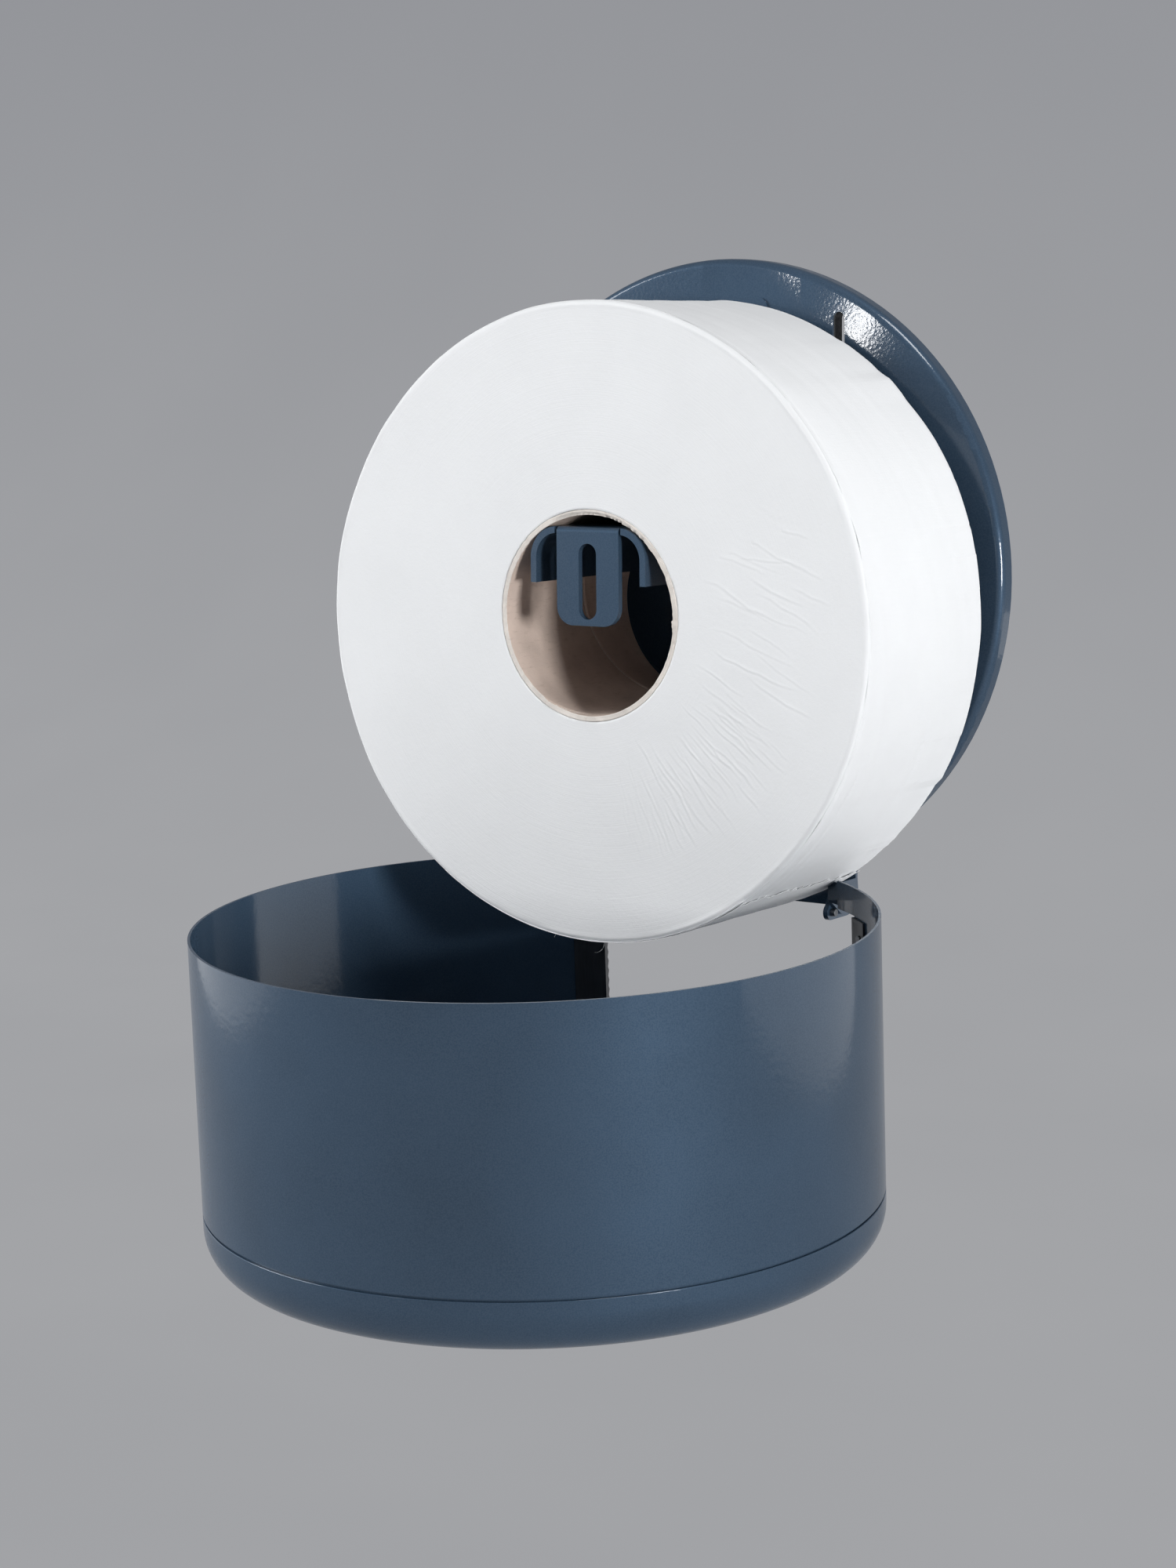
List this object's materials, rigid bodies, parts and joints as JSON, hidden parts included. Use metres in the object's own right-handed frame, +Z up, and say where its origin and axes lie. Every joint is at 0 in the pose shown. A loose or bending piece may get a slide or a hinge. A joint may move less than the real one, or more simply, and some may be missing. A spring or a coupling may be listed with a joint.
{
  "type": "jumbo toilet roll dispenser",
  "caption": "Round wall-mounted drum dispenser for a jumbo toilet roll, cover hinged down open, with lock, roll holder, tear strips and a full roll.",
  "frame": {"origin": "centre of the round wall plate, on the wall", "axes": "+Z up, +Y into the wall, the cover opens towards -Y, +X to the right seen from the front"},
  "size_m": [0.2568, 0.2701, 0.3752],
  "materials": {
    "coat": "gloss slate-blue powder coat",
    "zinc": "zinc plated",
    "steel": "plated, satin",
    "lock": "plated, bright",
    "spacer": "moulded black",
    "card": "spiral wound board",
    "paper": "soft tissue"
  },
  "bodies": {
    "base": {"wall_plate": "coat", "mount_spacers": "spacer", "hinge_bracket": "coat", "hinge_bracket_rivets": "zinc", "hinge_pins": "zinc", "stop_pins": "zinc", "roll_holder": "coat", "roll_holder_rivets": "zinc"},
    "cover": {"cover_shell": "coat", "cover_cap": "coat", "joint_ring": "coat", "cover_ear_left": "coat", "cover_ear_right": "coat", "tear_strip_left": "coat", "tear_strip_right": "coat", "tear_strip_rivets": "zinc", "lock_housing": "lock", "lock_washer": "steel", "lock_nut": "steel"},
    "lock": {"lock_plug": "lock", "lock_tongue": "steel", "lock_screw": "steel"},
    "roll": {"roll_core": "card", "paper_roll": "paper"}
  },
  "joints": [
    {"name": "cover_hinge", "type": "hinge", "parent": "base", "child": "cover", "pos_m": [0, -0.019, -0.1262], "axis": [-1, 0, 0], "range_deg": [0, 92.6]},
    {"name": "lock_turn", "type": "hinge", "parent": "cover", "child": "lock", "pos_m": [0, -0.14703, -0.22111], "axis": [0, 0.0454, -0.999], "range_deg": [0, 90]},
    {"name": "roll_spin", "type": "hinge", "parent": "base", "child": "roll", "pos_m": [0, -0.0633, -0.01043], "axis": [0, -1, 0], "continuous": true}
  ]
}
